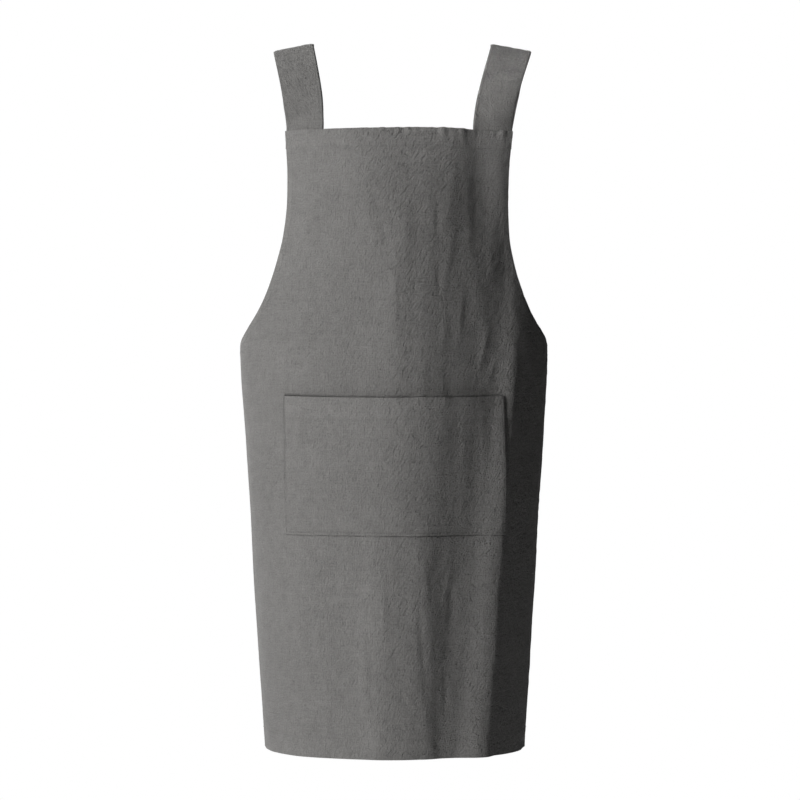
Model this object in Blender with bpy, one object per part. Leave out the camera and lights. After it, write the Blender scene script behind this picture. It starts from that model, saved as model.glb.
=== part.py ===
"""A linen cross-back apron in the form that it has when worn.

Metres, +Z up. The apron faces -Y, and +X is on the right seen from the front. The origin lies
midway between the straps where they cross the shoulders. Cloth is laid out by its own flat
measures: "out" runs along the cloth from the middle of the front towards +X, and heights are level.
"""

import math
from collections import namedtuple

import bmesh
import bpy
import numpy as np

# Drops, measured down from the top of the shoulders
BIB_DROP = 0.112
SIDE_DROP = 0.392
BACK_DROP = 0.430
HEM_DROP = 0.906
CROSSING_DROP = 0.290

# Widths and depths of the worn form
CHEST_WIDTH = 0.344
BODY_WIDTH = 0.399
HEM_WIDTH = 0.333
FRONT_DEPTH = 0.137
BACK_DEPTH = 0.125
LEAN = 0.011

# Widths of the cloth laid flat
BIB_CLOTH_WIDTH = 0.314
SKIRT_CLOTH_WIDTH = 0.860

# Straps
STRAP_WIDTH = 0.053
STRAP_SPAN = 0.282
STRAP_LAP = 0.034
SHOULDER_SLOPE = math.radians(11)
# How far a strap turns to face forward, and from which share of its way up to the shoulder
STRAP_TWIST = math.radians(14)
TWIST_START = 0.09

# Pocket
POCKET_WIDTH = 0.290
POCKET_DROP = 0.453
POCKET_DEPTH = 0.174
POCKET_BELLY = 0.010
POCKET_SAG = 0.0035

# Cloth
CLOTH = 0.0012
STRAP_CLOTH = 0.0020
CLEARANCE = 0.0005
FOLD_HEIGHT = 0.008
FOLD_WIDTH = 0.030

# Powers of the form's oval sections, where 2 is an ellipse
FRONT_ROUNDNESS = 2.15
BACK_ROUNDNESS = 2.2

# How far apart the points are from which a surface's slope is read
SLOPE_STEP = 0.0005

# Mesh divisions
BIB_ROWS = 11
SKIRT_ROWS = 22
FRONT_COLUMNS = 34
WING_COLUMNS = 15
STRAP_COLUMNS = 4
STRAP_LAP_ROWS = 4
STRAP_ARCH_ROWS = 22
STRAP_BACK_ROWS = 24
SECTION_SAMPLES = 121
ARMHOLE_SAMPLES = 97

Section = namedtuple("Section", "level to_chest to_hem lean front back")
# level is -1 at the bib's top, 0 at the sides' widest place and 1 at the hem. to_chest and to_hem
# say how far the half width has gone from the widest place to the chest's or the hem's. lean is a
# share of LEAN, front of FRONT_DEPTH and back of BACK_DEPTH.
SECTIONS = (
    Section(-1.00, 1.00, 0.00, -0.35, 0.79, 0.90),
    Section(-0.65, 0.84, 0.00, -0.50, 0.93, 0.97),
    Section(-0.30, 0.36, 0.00, -0.85, 0.96, 1.00),
    Section(0.00, 0.00, 0.00, -1.00, 0.96, 1.00),
    Section(0.25, 0.00, 0.22, -0.92, 1.00, 1.00),
    Section(0.50, 0.00, 0.51, -0.96, 1.00, 1.00),
    Section(0.75, 0.00, 0.78, -0.96, 0.98, 0.97),
    Section(1.00, 0.00, 1.00, -0.90, 0.95, 0.94),
)

EdgePoint = namedtuple("EdgePoint", "out down")
# The armhole on the flat cloth, from the bib's top corner to the wing's back corner. out is a share
# of the way from the bib's half width to the skirt's, down of the drop from the first to the last.
ARMHOLE = (
    EdgePoint(0.000, 0.00),
    EdgePoint(-0.018, 0.19),
    EdgePoint(-0.019, 0.29),
    EdgePoint(-0.007, 0.43),
    EdgePoint(0.020, 0.53),
    EdgePoint(0.057, 0.62),
    EdgePoint(0.123, 0.72),
    EdgePoint(0.238, 0.81),
    EdgePoint(0.400, 0.88),
    EdgePoint(0.680, 0.95),
    EdgePoint(1.000, 1.00),
)
# Share of the armhole's drop down to which the bib's rows reach, where the wings' columns begin
WING_START = 0.735

Fold = namedtuple("Fold", "top_out foot_out height inner outer top foot")
# top_out and foot_out are shares of the skirt cloth's half width, height of FOLD_HEIGHT, inner and
# outer of FOLD_WIDTH for the two flanks, and top and foot shares of the drop from bib to hem.
FOLDS = (
    Fold(0.385, 0.225, 1.00, 1.00, 0.45, 0.26, 1.30),
    Fold(0.385, 0.115, -0.80, 1.30, 0.70, 0.02, 1.30),
    Fold(0.240, 0.250, -0.80, 0.70, 1.10, -0.25, 0.24),
    Fold(0.128, -0.005, 1.00, 2.60, 1.15, -0.20, 1.30),
    Fold(0.020, 0.010, 0.36, 0.70, 0.45, 0.10, 0.46),
    Fold(-0.065, -0.030, 0.36, 0.90, 0.45, 0.58, 1.20),
    Fold(0.080, 0.110, 0.34, 0.55, 0.45, 0.55, 1.20),
    Fold(-0.300, -0.285, 0.30, 1.00, 0.80, 0.50, 1.20),
    Fold(0.620, 0.600, 0.60, 0.90, 0.90, 0.55, 1.30),
    Fold(-0.640, -0.600, 0.60, 0.90, 0.90, 0.55, 1.30),
    Fold(0.860, 0.840, 0.45, 0.80, 0.80, 0.62, 1.30),
    Fold(-0.850, -0.860, 0.50, 0.80, 0.80, 0.60, 1.30),
)
# The share of a fold's length in which it rises from nothing at its top
FOLD_FADE = 0.3

CoursePoint = namedtuple("CoursePoint", "down across")
# A strap's middle line on the back. down goes from -1 at the bib's level over 0 at the crossing to 1
# at the wing's top edge. across is its distance from the middle of the back, as a share of what it
# is at either end, and less than nothing once it has crossed.
BACK_COURSE = (
    CoursePoint(-1.00, 1.00),
    CoursePoint(-0.75, 0.88),
    CoursePoint(-0.50, 0.66),
    CoursePoint(-0.25, 0.35),
    CoursePoint(0.00, 0.00),
    CoursePoint(0.50, -0.51),
    CoursePoint(1.00, -1.00),
)
# A strap's place on the back at the bib's level, as a share of its place on the shoulder
BACK_LEAN = 0.93
# From a wing's back edge to the middle of its strap, in strap widths
CORNER_INSET = 0.62
# How far from the crossing one strap is lifted over the other, and fully lifted, in strap widths
LIFT_REACH = 1.7
FULL_LIFT_REACH = 0.9
# How far the straps swing out of a straight line where they go over the shoulders
ARCH_FULLNESS = 1.15

LINEN_COLOUR = (0.17, 0.168, 0.163, 1.0)
POCKET_COLOUR = (0.165, 0.163, 0.158, 1.0)
STRAP_COLOUR = (0.155, 0.153, 0.149, 1.0)
LINEN_ROUGHNESS = 0.92


def clear_scene():
    """Removes whatever the scene holds."""
    for thing in list(bpy.data.objects):
        bpy.data.objects.remove(thing, do_unlink=True)


def linen(name, colour):
    """A plain linen material."""
    material = bpy.data.materials.new(name)
    material.use_nodes = True
    shader = material.node_tree.nodes["Principled BSDF"]
    shader.inputs["Base Color"].default_value = colour
    shader.inputs["Roughness"].default_value = LINEN_ROUGHNESS
    shader.inputs["Metallic"].default_value = 0.0
    return material


def column_of(table, name):
    """One column of a table."""
    return np.array([getattr(row, name) for row in table])


def smooth_curve(places, values, at):
    """A smooth curve through values, which never overshoots them, read at any place."""
    at = np.clip(np.asarray(at, dtype=float), places[0], places[-1])
    steps = np.diff(places)
    rises = np.diff(values) / steps
    slopes = np.zeros(len(places))
    slopes[0] = rises[0]
    slopes[-1] = rises[-1]
    for row in range(1, len(places) - 1):
        before = rises[row - 1]
        after = rises[row]
        if before * after > 0:
            slopes[row] = 2 * before * after / (before + after)
    row = np.clip(np.searchsorted(places, at, side="right") - 1, 0, len(steps) - 1)
    step = steps[row]
    share = (at - places[row]) / step
    risen = values[row] + (values[row + 1] - values[row]) * share**2 * (3 - 2 * share)
    leaving = slopes[row] * step * share * (1 - share) ** 2
    arriving = slopes[row + 1] * step * share**2 * (share - 1)
    return risen + leaving + arriving


def read_table(table, place, column, at):
    """One column of a table at any place, as smooth_curve reads it."""
    return smooth_curve(column_of(table, place), column_of(table, column), at)


def ease(share):
    """Rises smoothly from 0 to 1."""
    share = np.clip(share, 0.0, 1.0)
    return share * share * (3 - 2 * share)


def section_sizes(z):
    """Half width, front depth, back depth and sideways lean of the worn form at heights."""
    drop = -np.asarray(z, dtype=float)
    above = (drop - SIDE_DROP) / (SIDE_DROP - BIB_DROP)
    below = (drop - SIDE_DROP) / (HEM_DROP - SIDE_DROP)
    level = np.where(drop < SIDE_DROP, above, below)
    widest = BODY_WIDTH / 2
    half_width = (
        widest
        + (CHEST_WIDTH / 2 - widest) * read_table(SECTIONS, "level", "to_chest", level)
        + (HEM_WIDTH / 2 - widest) * read_table(SECTIONS, "level", "to_hem", level)
    )
    front = FRONT_DEPTH * read_table(SECTIONS, "level", "front", level)
    back = BACK_DEPTH * read_table(SECTIONS, "level", "back", level)
    lean = LEAN * read_table(SECTIONS, "level", "lean", level)
    return half_width, front, back, lean


def oval(angle, half_width, front, back):
    """A point of an oval section, at an angle from the middle of the front."""
    ahead = np.cos(angle) > 0
    depth = np.where(ahead, front, back)
    power = np.where(ahead, FRONT_ROUNDNESS, BACK_ROUNDNESS)
    side_term = np.abs(np.sin(angle) / half_width) ** power
    depth_term = np.abs(np.cos(angle) / depth) ** power
    reach = (side_term + depth_term) ** (-1 / power)
    return reach * np.sin(angle), -reach * np.cos(angle)


def section_lengths(z):
    """The angles of a half section and, for each height, the x of each and the cloth's length to it."""
    half_width, front, back, _ = section_sizes(z)
    angles = np.linspace(0.0, math.pi, SECTION_SAMPLES)
    x, y = oval(angles, half_width[:, None], front[:, None], back[:, None])
    lengths = np.hypot(np.diff(x, axis=1), np.diff(y, axis=1))
    lengths = np.concatenate([np.zeros((len(z), 1)), np.cumsum(lengths, axis=1)], axis=1)
    return angles, x, lengths


def wrapped(out, half_round):
    """Cloth places past the middle of the back, counted from the front round the other side."""
    out = np.where(out > half_round, out - 2 * half_round, out)
    return np.where(out < -half_round, out + 2 * half_round, out)


def form_point(out, z):
    """Points of the smooth worn form at cloth places, for arrays of one length."""
    angles, _, lengths = section_lengths(z)
    out = wrapped(out, lengths[:, -1])
    reach = np.abs(out)
    step = np.clip((lengths <= reach[:, None]).sum(axis=1) - 1, 0, SECTION_SAMPLES - 2)
    rows = np.arange(len(z))
    start = lengths[rows, step]
    share = (reach - start) / (lengths[rows, step + 1] - start)
    angle = angles[step] + share * (angles[1] - angles[0])
    half_width, front, back, lean = section_sizes(z)
    x, y = oval(angle, half_width, front, back)
    return np.stack([np.sign(out) * x + lean, y, z], axis=1)


def fold_height(out, z):
    """How far the folds lift the cloth off the smooth form."""
    drop = (-z - BIB_DROP) / (HEM_DROP - BIB_DROP)
    total = np.zeros(len(z))
    for fold in FOLDS:
        along = np.clip((drop - fold.top) / (fold.foot - fold.top), 0.0, 1.0)
        middle = (fold.top_out + (fold.foot_out - fold.top_out) * along) * SKIRT_CLOTH_WIDTH / 2
        away = (out - middle) * (1 if fold.top_out >= 0 else -1)
        width = np.where(away > 0, fold.outer, fold.inner) * FOLD_WIDTH
        rise = ease(along / FOLD_FADE) * ease((1 - along) / FOLD_FADE)
        total += fold.height * FOLD_HEIGHT * rise * np.exp(-((away / width) ** 2))
    return total


def normal_of(point_at, out, z):
    """Unit normals, facing away from the wearer, of a surface given as a function of out and z."""
    across = point_at(out + SLOPE_STEP, z) - point_at(out - SLOPE_STEP, z)
    upward = point_at(out, z + SLOPE_STEP) - point_at(out, z - SLOPE_STEP)
    normal = np.cross(across, upward)
    return normal / np.linalg.norm(normal, axis=1)[:, None]


def folded_point(out, z):
    """Points of the apron's outer face: the smooth form with its folds."""
    return form_point(out, z) + normal_of(form_point, out, z) * fold_height(out, z)[:, None]


def cloth_grid(outs, heights, lift=0.0):
    """A grid of points lifted off the apron's outer face, from two grids of places and heights."""
    out = outs.ravel()
    z = heights.ravel()
    away = np.broadcast_to(lift, outs.shape).ravel()[:, None]
    points = folded_point(out, z) + normal_of(folded_point, out, z) * away
    return points.reshape(outs.shape + (3,))


def armhole():
    """The armhole as cloth places and heights, from the bib's top corner to the wing's corner."""
    outs = BIB_CLOTH_WIDTH + (SKIRT_CLOTH_WIDTH - BIB_CLOTH_WIDTH) * column_of(ARMHOLE, "out")
    outs = outs / 2
    heights = -(BIB_DROP + (BACK_DROP - BIB_DROP) * column_of(ARMHOLE, "down"))
    lengths = np.hypot(np.diff(outs), np.diff(heights))
    places = np.concatenate([[0.0], np.cumsum(lengths)])
    at = np.linspace(0.0, places[-1], ARMHOLE_SAMPLES)
    return smooth_curve(places, outs, at), smooth_curve(places, heights, at)


def bib_half_width(z):
    """The cloth's half width at heights of the bib."""
    edge_out, edge_z = armhole()
    return np.interp(-z, -edge_z, edge_out)


def wing_top(out):
    """The height of a wing's top edge at cloth places."""
    edge_out, edge_z = armhole()
    narrowest = np.argmin(edge_out)
    return np.interp(out, edge_out[narrowest:], edge_z[narrowest:])


def mesh_object(name, rows, thickness, material):
    """Makes a wall from rows of points on its outer face. Where a row is short, points are None."""
    grid = bmesh.new()
    made = [[None if p is None else grid.verts.new(p) for p in row] for row in rows]
    for upper, lower in zip(made, made[1:]):
        for column in range(len(upper) - 1):
            corners = (upper[column], lower[column], lower[column + 1], upper[column + 1])
            if all(corners):
                grid.faces.new(corners)
    mesh = bpy.data.meshes.new(name)
    grid.to_mesh(mesh)
    grid.free()
    mesh.materials.append(material)
    mesh.shade_smooth()
    piece = bpy.data.objects.new(name, mesh)
    bpy.context.scene.collection.objects.link(piece)
    wall = piece.modifiers.new("wall", "SOLIDIFY")
    wall.thickness = thickness
    wall.offset = -1.0
    wall.use_even_offset = True
    return piece


def front_columns():
    """Shares of the front's half width for its columns, and the place and height of their edge."""
    start_z = -(BIB_DROP + (BACK_DROP - BIB_DROP) * WING_START)
    start_out = float(bib_half_width(start_z))
    return np.linspace(-1.0, 1.0, FRONT_COLUMNS + 1), start_out, start_z


def body_panel():
    """The bib and the skirt with its two wings, all one cloth."""
    shares, start_out, start_z = front_columns()
    bib_z = np.linspace(-BIB_DROP, start_z, BIB_ROWS + 1)[:-1, None]
    bib = cloth_grid(bib_half_width(bib_z) * shares, np.repeat(bib_z, len(shares), axis=1))
    wing_out = np.linspace(start_out, SKIRT_CLOTH_WIDTH / 2, WING_COLUMNS + 1)[1:]
    wing_z = wing_top(wing_out)
    outs = np.concatenate([-wing_out[::-1], shares * start_out, wing_out])
    tops = np.concatenate([wing_z[::-1], np.full(len(shares), start_z), wing_z])
    down = np.linspace(0.0, 1.0, SKIRT_ROWS + 1)[:, None]
    skirt = cloth_grid(np.repeat(outs[None, :], len(down), axis=0), tops - (HEM_DROP + tops) * down)
    blank = [None] * WING_COLUMNS
    rows = [blank + list(row) + blank for row in bib]
    rows += [list(row) for row in skirt]
    return mesh_object("body_panel", rows, CLOTH, linen("panel_linen", LINEN_COLOUR))


def pocket_grid():
    """Places and heights of the pocket's points, on the panel's own columns and rows between."""
    shares, start_out, start_z = front_columns()
    half = POCKET_WIDTH / 2
    least = start_out / FRONT_COLUMNS / 2
    inner = [place for place in shares * start_out if abs(place) < half - least]
    outs = np.array([-half] + inner + [half])
    top = -POCKET_DROP
    foot = top - POCKET_DEPTH
    panel_z = np.linspace(start_z, -HEM_DROP, SKIRT_ROWS + 1)
    least = (HEM_DROP + start_z) / SKIRT_ROWS / 4
    heights = np.array([top] + [z for z in panel_z if foot + least < z < top - least] + [foot])
    return np.meshgrid(outs, heights)


def pocket():
    """The patch pocket, which stands off the panel most at the middle of its sagging mouth."""
    outs, heights = pocket_grid()
    across = 1 - (2 * outs / POCKET_WIDTH) ** 2
    up = 1 + (heights + POCKET_DROP) / POCKET_DEPTH
    lift = CLEARANCE + CLOTH + POCKET_BELLY * np.sqrt(across) * up * (2 - up)
    heights = heights - POCKET_SAG * across * up
    rows = [list(row) for row in cloth_grid(outs, heights, lift)]
    return mesh_object("pocket", rows, CLOTH, linen("pocket_linen", POCKET_COLOUR))


def ribbon(course_out, course_z, lift):
    """Rows of a strap's outer face along a course on the form, square to it on the flat cloth."""
    along_out = np.gradient(course_out)
    along_z = np.gradient(course_z)
    length = np.hypot(along_out, along_z)
    across = np.linspace(-0.5, 0.5, STRAP_COLUMNS + 1) * STRAP_WIDTH
    outs = course_out[:, None] - (along_z / length)[:, None] * across
    heights = course_z[:, None] + (along_out / length)[:, None] * across
    return cloth_grid(outs, heights, np.repeat(lift[:, None], STRAP_COLUMNS + 1, axis=1))


def back_place(z, x):
    """The distance along the cloth, from the middle of the back, of a point at a distance x."""
    _, across, lengths = section_lengths(np.array([z]))
    half = SECTION_SAMPLES // 2
    return float(lengths[0, -1] - np.interp(x, across[0, half:][::-1], lengths[0, half:][::-1]))


def back_course(side, over):
    """The places, heights and lifts of a strap's middle line down the back and into the wing."""
    corner_out = SKIRT_CLOTH_WIDTH / 2 - STRAP_WIDTH * CORNER_INSET
    corner_z = float(wing_top(corner_out))
    first = back_place(-BIB_DROP, STRAP_SPAN / 2 * BACK_LEAN)
    _, _, lengths = section_lengths(np.array([corner_z]))
    last = lengths[0, -1] - corner_out
    down = np.linspace(-1.0, 1.0, STRAP_BACK_ROWS + 1)
    across = read_table(BACK_COURSE, "down", "across", down)
    from_middle = across * np.where(across > 0, first, last)
    upper = -CROSSING_DROP - (CROSSING_DROP - BIB_DROP) * down
    lower = -CROSSING_DROP + (CROSSING_DROP + corner_z) * down
    z = np.where(down < 0, upper, lower)
    slope = (from_middle[-1] - from_middle[-2]) / (z[-1] - z[-2])
    lap = np.arange(1, STRAP_LAP_ROWS + 1) / STRAP_LAP_ROWS * STRAP_LAP / math.hypot(slope, 1)
    from_middle = np.concatenate([from_middle, from_middle[-1] - slope * lap])
    z = np.concatenate([z, z[-1] - lap])
    _, _, lengths = section_lengths(z)
    lift = np.full(len(z), -CLOTH - CLEARANCE)
    if over:
        away = np.hypot(from_middle, z + CROSSING_DROP) / STRAP_WIDTH
        rise = ease((LIFT_REACH - away) / (LIFT_REACH - FULL_LIFT_REACH))
        lift += (STRAP_CLOTH + CLEARANCE) * rise
    return side * (lengths[:, -1] - from_middle), z, lift


def arch(start, leaving, end, arriving, rows):
    """Rows between two rows of points, on curves with the given directions at their ends."""
    reach = np.linalg.norm(end - start, axis=1).mean() * ARCH_FULLNESS
    made = []
    for share in np.linspace(0.0, 1.0, rows + 1)[1:-1]:
        made.append(
            start * (1 - share) ** 2 * (1 + 2 * share)
            + end * share**2 * (3 - 2 * share)
            + leaving * reach * share * (1 - share) ** 2
            - arriving * reach * share**2 * (1 - share)
        )
    return made


def directions(from_row, to_row):
    """Unit directions between the points of two rows."""
    step = to_row - from_row
    return step / np.linalg.norm(step, axis=1)[:, None]


def strap(name, side, over):
    """A strap from behind the bib's corner over the shoulder to the opposite wing."""
    lap_z = -BIB_DROP - np.linspace(STRAP_LAP, 0.0, STRAP_LAP_ROWS + 1)
    lap_out = side * (bib_half_width(lap_z) - STRAP_WIDTH / 2)
    front = ribbon(lap_out, lap_z, np.full(len(lap_z), -CLOTH - CLEARANCE))
    back = ribbon(*back_course(side, over))
    across = np.linspace(-0.5, 0.5, STRAP_COLUMNS + 1) * STRAP_WIDTH
    top_x = side * STRAP_SPAN / 2 - across * math.cos(SHOULDER_SLOPE)
    top_z = side * across * math.sin(SHOULDER_SLOPE)
    top = np.stack([top_x, np.zeros(STRAP_COLUMNS + 1), top_z], axis=1)
    backward = np.tile((0.0, 1.0, 0.0), (STRAP_COLUMNS + 1, 1))
    half_rows = STRAP_ARCH_ROWS // 2
    rising = arch(front[-1], directions(front[-2], front[-1]), top, backward, half_rows)
    for step, row in enumerate(rising, start=1):
        share = max(0.0, (step / half_rows - TWIST_START) / (1 - TWIST_START))
        turned = math.sin(math.pi * math.sqrt(share))
        row[:, 1] += side * across * math.tan(STRAP_TWIST) * turned
    rows = list(front) + rising
    rows.append(top)
    rows += arch(top, backward, back[0], directions(back[0], back[1]), half_rows)
    rows += list(back)
    return mesh_object(name, rows, STRAP_CLOTH, linen(name + "_linen", STRAP_COLOUR))


def main():
    """Builds the apron."""
    clear_scene()
    body_panel()
    pocket()
    strap("strap_right", 1, over=True)
    strap("strap_left", -1, over=False)


main()
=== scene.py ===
"""The linen apron with its crinkle, hems, stitches and weave, in a plain soft studio light.

Metres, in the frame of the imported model. Cloth is laid out by its own flat measures, as in the
solids: "out" runs along the cloth from the middle of the front towards +X, and heights are level.
"""

import math
from collections import namedtuple

import bmesh
import bpy
import numpy as np
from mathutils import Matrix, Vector


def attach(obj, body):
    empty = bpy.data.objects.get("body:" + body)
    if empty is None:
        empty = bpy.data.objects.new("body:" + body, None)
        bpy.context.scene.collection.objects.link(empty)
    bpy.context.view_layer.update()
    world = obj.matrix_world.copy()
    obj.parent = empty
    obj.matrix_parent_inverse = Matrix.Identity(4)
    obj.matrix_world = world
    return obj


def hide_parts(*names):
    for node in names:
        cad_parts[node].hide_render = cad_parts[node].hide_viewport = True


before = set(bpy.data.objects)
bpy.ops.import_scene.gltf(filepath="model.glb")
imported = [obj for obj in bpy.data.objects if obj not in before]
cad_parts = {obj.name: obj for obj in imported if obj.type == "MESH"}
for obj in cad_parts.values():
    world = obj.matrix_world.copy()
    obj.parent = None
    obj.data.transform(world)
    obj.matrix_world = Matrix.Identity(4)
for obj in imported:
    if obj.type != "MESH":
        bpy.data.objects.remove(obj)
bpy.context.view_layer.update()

# The worn form, with the same values as the solids
BIB_DROP = 0.112
SIDE_DROP = 0.392
BACK_DROP = 0.430
HEM_DROP = 0.906
CROSSING_DROP = 0.290
CHEST_WIDTH = 0.344
BODY_WIDTH = 0.399
HEM_WIDTH = 0.333
FRONT_DEPTH = 0.137
BACK_DEPTH = 0.125
LEAN = 0.011
BIB_CLOTH_WIDTH = 0.314
SKIRT_CLOTH_WIDTH = 0.860
STRAP_WIDTH = 0.053
STRAP_SPAN = 0.282
STRAP_LAP = 0.034
SHOULDER_SLOPE = math.radians(11)
STRAP_TWIST = math.radians(14)
TWIST_START = 0.09
POCKET_WIDTH = 0.290
POCKET_DROP = 0.453
POCKET_DEPTH = 0.174
POCKET_BELLY = 0.010
POCKET_SAG = 0.0035
CLOTH = 0.0012
STRAP_CLOTH = 0.0020
CLEARANCE = 0.0005
FOLD_HEIGHT = 0.008
FOLD_WIDTH = 0.030
FRONT_ROUNDNESS = 2.15
BACK_ROUNDNESS = 2.2

Section = namedtuple("Section", "level to_chest to_hem lean front back")
SECTIONS = (
    Section(-1.00, 1.00, 0.00, -0.35, 0.79, 0.90),
    Section(-0.65, 0.84, 0.00, -0.50, 0.93, 0.97),
    Section(-0.30, 0.36, 0.00, -0.85, 0.96, 1.00),
    Section(0.00, 0.00, 0.00, -1.00, 0.96, 1.00),
    Section(0.25, 0.00, 0.22, -0.92, 1.00, 1.00),
    Section(0.50, 0.00, 0.51, -0.96, 1.00, 1.00),
    Section(0.75, 0.00, 0.78, -0.96, 0.98, 0.97),
    Section(1.00, 0.00, 1.00, -0.90, 0.95, 0.94),
)

EdgePoint = namedtuple("EdgePoint", "out down")
ARMHOLE = (
    EdgePoint(0.000, 0.00),
    EdgePoint(-0.018, 0.19),
    EdgePoint(-0.019, 0.29),
    EdgePoint(-0.007, 0.43),
    EdgePoint(0.020, 0.53),
    EdgePoint(0.057, 0.62),
    EdgePoint(0.123, 0.72),
    EdgePoint(0.238, 0.81),
    EdgePoint(0.400, 0.88),
    EdgePoint(0.680, 0.95),
    EdgePoint(1.000, 1.00),
)
WING_START = 0.735

Fold = namedtuple("Fold", "top_out foot_out height inner outer top foot")
FOLDS = (
    Fold(0.385, 0.225, 1.00, 1.00, 0.45, 0.26, 1.30),
    Fold(0.385, 0.115, -0.80, 1.30, 0.70, 0.02, 1.30),
    Fold(0.240, 0.250, -0.80, 0.70, 1.10, -0.25, 0.24),
    Fold(0.128, -0.005, 1.00, 2.60, 1.15, -0.20, 1.30),
    Fold(0.020, 0.010, 0.36, 0.70, 0.45, 0.10, 0.46),
    Fold(-0.065, -0.030, 0.36, 0.90, 0.45, 0.58, 1.20),
    Fold(0.080, 0.110, 0.34, 0.55, 0.45, 0.55, 1.20),
    Fold(-0.300, -0.285, 0.30, 1.00, 0.80, 0.50, 1.20),
    Fold(0.620, 0.600, 0.60, 0.90, 0.90, 0.55, 1.30),
    Fold(-0.640, -0.600, 0.60, 0.90, 0.90, 0.55, 1.30),
    Fold(0.860, 0.840, 0.45, 0.80, 0.80, 0.62, 1.30),
    Fold(-0.850, -0.860, 0.50, 0.80, 0.80, 0.60, 1.30),
)
FOLD_FADE = 0.3

CoursePoint = namedtuple("CoursePoint", "down across")
BACK_COURSE = (
    CoursePoint(-1.00, 1.00),
    CoursePoint(-0.75, 0.88),
    CoursePoint(-0.50, 0.66),
    CoursePoint(-0.25, 0.35),
    CoursePoint(0.00, 0.00),
    CoursePoint(0.50, -0.51),
    CoursePoint(1.00, -1.00),
)
BACK_LEAN = 0.93
CORNER_INSET = 0.62
LIFT_REACH = 1.7
FULL_LIFT_REACH = 0.9
ARCH_FULLNESS = 1.15

# The bib's and the skirt's edges, which hang a little lower than the solids'
BIB_EDGE_DROP = BIB_DROP + 0.0028
HEM_EDGE_DROP = HEM_DROP + 0.0022

# A strap's foot is flared on its inner side. From there to a share of its way up to the shoulder, the
# strap spreads to its full width as seen from the front.
STRAP_FLARE = 0.0060
FLARE_END = 0.30
FOOT_OUT = 0.0010
# How far the front of the right and of the left strap swings towards +X
STRAP_SWINGS = {1: 0.0026, -1: -0.0012}
# How far a strap's back part keeps in behind its front, and between which drops
STRAP_TUCK = 0.0042
TUCK_START = 0.004
TUCK_FULL = 0.035
TUCK_FADE = 0.170
TUCK_END = 0.250

# Fine creases of the front, in metres on the cloth. A valley has a height below nothing.
Crease = namedtuple("Crease", "top_out top_z foot_out foot_z height inner outer")
CREASES = (
    Crease(0.048, -0.190, 0.050, -0.272, -0.0011, 0.0024, 0.0040),
    Crease(0.053, -0.284, 0.055, -0.335, -0.0010, 0.0022, 0.0036),
    Crease(-0.046, -0.150, -0.002, -0.290, -0.0007, 0.0045, 0.0045),
    Crease(-0.060, -0.160, -0.016, -0.300, 0.0006, 0.0060, 0.0060),
    Crease(0.000, -0.245, 0.003, -0.385, 0.0013, 0.0090, 0.0030),
    Crease(0.074, -0.230, 0.060, -0.330, 0.0010, 0.0050, 0.0040),
    Crease(0.088, -0.300, 0.080, -0.400, 0.0010, 0.0050, 0.0040),
    Crease(0.066, -0.340, 0.060, -0.400, 0.0009, 0.0045, 0.0040),
    Crease(-0.016, -0.650, -0.010, -0.760, 0.0010, 0.0060, 0.0035),
    Crease(0.027, -0.670, 0.042, -0.865, -0.0015, 0.0035, 0.0060),
    Crease(0.064, -0.790, 0.066, -0.860, -0.0011, 0.0028, 0.0045),
    Crease(-0.040, -0.700, -0.030, -0.890, 0.0014, 0.0120, 0.0040),
    Crease(0.076, -0.655, 0.072, -0.760, -0.0016, 0.0060, 0.0080),
    Crease(0.128, -0.345, 0.108, -0.440, 0.0015, 0.0050, 0.0045),
    Crease(0.142, -0.390, 0.121, -0.446, 0.0013, 0.0035, 0.0035),
    Crease(-0.118, -0.300, -0.112, -0.440, 0.0006, 0.0140, 0.0100),
)
CREASE_FADE = 0.45

# Where the crinkle of the washed cloth begins, and its size
CRINKLE_START = -0.035
CRINKLE_FULL = 0.055
CRINKLE_LEAST = 0.16
CRINKLE_HEIGHT = 0.00075
CRINKLE_ACROSS = 0.0070
CRINKLE_ALONG = 0.0135
CRINKLE_SLANT = math.radians(28)
CRINKLE_SEED = 11
CRINKLE_WANDER = 0.004
WANDER_SIZE = 0.030
SHARP_LEVEL = 0.45
SHARP_ACROSS = 1.7
SHARP_ALONG = 1.5
PATCH_ACROSS = 0.035
PATCH_ALONG = 0.050
PATCH_SHARE = 0.6
FINE_SHARE = 0.7
SHARP_SHARE = 0.4
# How much further left it reaches at the bib's top than at the waist
CRINKLE_SPREAD = 0.050
# Where it begins and is full again on both wings
WING_CRINKLE_START = 0.24
WING_CRINKLE_FULL = 0.32
RIPPLE_HEIGHT = 0.0009
RIPPLE_ACROSS = 0.021
RIPPLE_ALONG = 0.085
LEAST_RIPPLE = 0.25
# Tufts where the bib's top hem gathers its edge
TUFT_HEIGHT = 0.0024
TUFT_WIDTH = 0.0085
TUFT_LENGTH = 0.030
TUFT_REACH = 0.009

# A grid of points with its two UV maps
Grid = namedtuple("Grid", "points cloth seam")

# Hems, each from the cloth's edge to its stitches
TOP_HEM = 0.022
SKIRT_HEM = 0.025
SIDE_HEM = 0.009
MOUTH_HEM = 0.027
POCKET_SEAM = 0.003
STRAP_SEAM = 0.004
HEM_ROLL = 0.0005
# A hem's section: on the outer face before the roll, round the roll, and past the stitches
ROLL_START = ((0.0008, 0.00003), (0.0001, -0.00002))
ROLL_TURNS = (20, 48, 76, 104, 132, 160)
ROLL_END = 0.0006
HEM_OVERRUN = 0.0008
# How deep the turned hems lie under the outer face, and how far the pocket's edges are turned in
LEVEL_HEM_LIFT = -0.0012
SIDE_HEM_LIFT = -0.0010
POCKET_TURN_IN = 0.008
STITCH_PITCH = 0.0034
STITCH_LENGTH = 0.0024
STITCH_RADIUS = 0.00024
STITCH_SIDES = 5
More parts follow.
